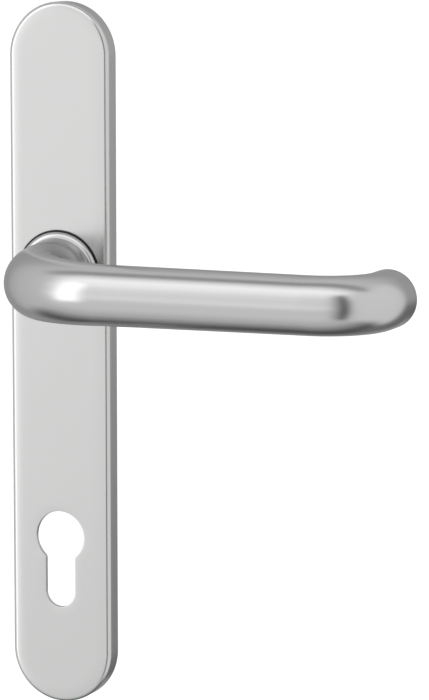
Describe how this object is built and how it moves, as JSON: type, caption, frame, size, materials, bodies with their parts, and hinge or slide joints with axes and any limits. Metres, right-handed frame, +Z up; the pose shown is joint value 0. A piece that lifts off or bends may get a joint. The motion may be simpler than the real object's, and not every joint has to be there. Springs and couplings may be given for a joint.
{
  "type": "lever handle on backplate",
  "caption": "U-form door lever on a long narrow round-ended backplate with a euro-profile cut-out, for the outer side of a narrow-stile door.",
  "frame": {"origin": "on the spindle's axis, in the plane of the plate's back face, which rests on the door", "axes": "+Y into the door along the spindle; -Y towards the user; +Z up along the plate; +X along the lever's grip"},
  "size_m": [0.1558, 0.0902, 0.245],
  "materials": {
    "satin_aluminium": "satin anodised, silver",
    "satin_aluminium_lever": "satin anodised, silver",
    "zinc_plated_steel": "zinc plated",
    "post_steel": "turned, zinc plated",
    "bright_steel": "bright",
    "spring_steel": "oiled",
    "spindle_steel": "drawn, zinc plated",
    "screw_steel": "zinc plated",
    "grey_plastic": "moulded",
    "bearing_plastic": "moulded"
  },
  "bodies": {
    "plate": {"cover_plate": "satin_aluminium", "base_plate": "zinc_plated_steel", "guide_bush": "grey_plastic", "rear_bush": "bearing_plastic", "upper_fixing_post": "post_steel", "lower_fixing_post": "post_steel", "rest_stop_pin": "bright_steel", "travel_stop_pin": "bright_steel", "spring_abutment": "bright_steel", "return_spring": "spring_steel", "thrust_washer": "bearing_plastic", "upper_left_screw": "screw_steel", "upper_right_screw": "screw_steel", "middle_left_screw": "screw_steel", "middle_right_screw": "screw_steel", "lower_left_screw": "screw_steel", "lower_right_screw": "screw_steel"},
    "lever": {"lever_handle": "satin_aluminium_lever", "spindle": "spindle_steel", "spindle_pin": "bright_steel", "drive_plate": "bright_steel", "retaining_ring": "spring_steel"}
  },
  "joints": [
    {"name": "lever_turn", "type": "hinge", "parent": "plate", "child": "lever", "pos_m": [0, 0, 0], "axis": [0, 1, 0], "range_deg": [0, 45], "stiffness_Nm_per_rad": 0.09, "springref_deg": -108.86, "deforming": ["return_spring"]}
  ]
}
